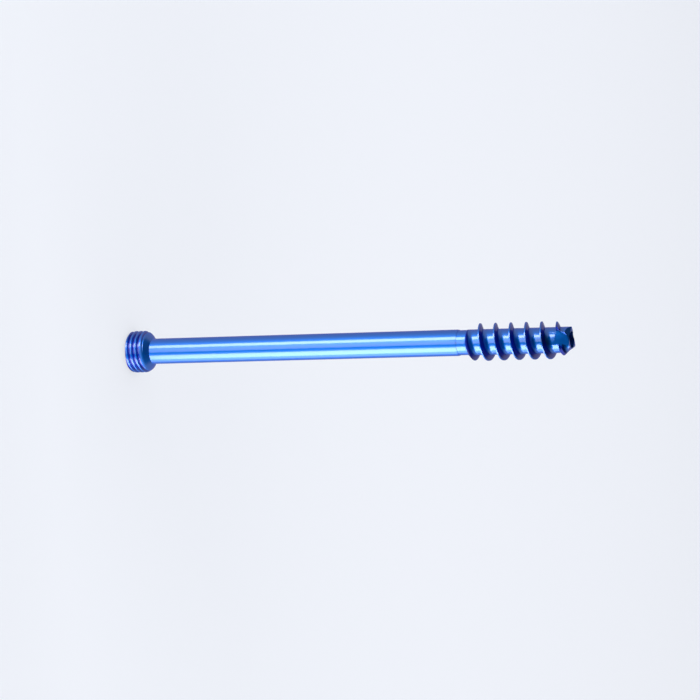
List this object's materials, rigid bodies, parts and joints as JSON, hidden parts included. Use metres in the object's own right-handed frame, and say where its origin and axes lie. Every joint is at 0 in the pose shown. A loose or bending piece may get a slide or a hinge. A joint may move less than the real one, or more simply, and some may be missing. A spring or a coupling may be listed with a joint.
{
  "type": "headless compression screw",
  "caption": "Cannulated headless compression screw with a fine-threaded head, smooth shank, coarse bone thread and fluted cutting tip.",
  "frame": {"origin": "centre of the head's end face, on the screw's axis, at the mouth of the driver socket", "axes": "+Z along the screw's axis from the head to the cutting tip, -Y towards the side with one flute square to it; the screw stands on the flat end face of its head"},
  "size_m": [0.0074, 0.0074, 0.0822],
  "materials": {
    "anodised_titanium": "turned titanium alloy, anodised blue, satin gloss"
  },
  "bodies": {
    "root": {"screw": "anodised_titanium"}
  },
  "joints": []
}
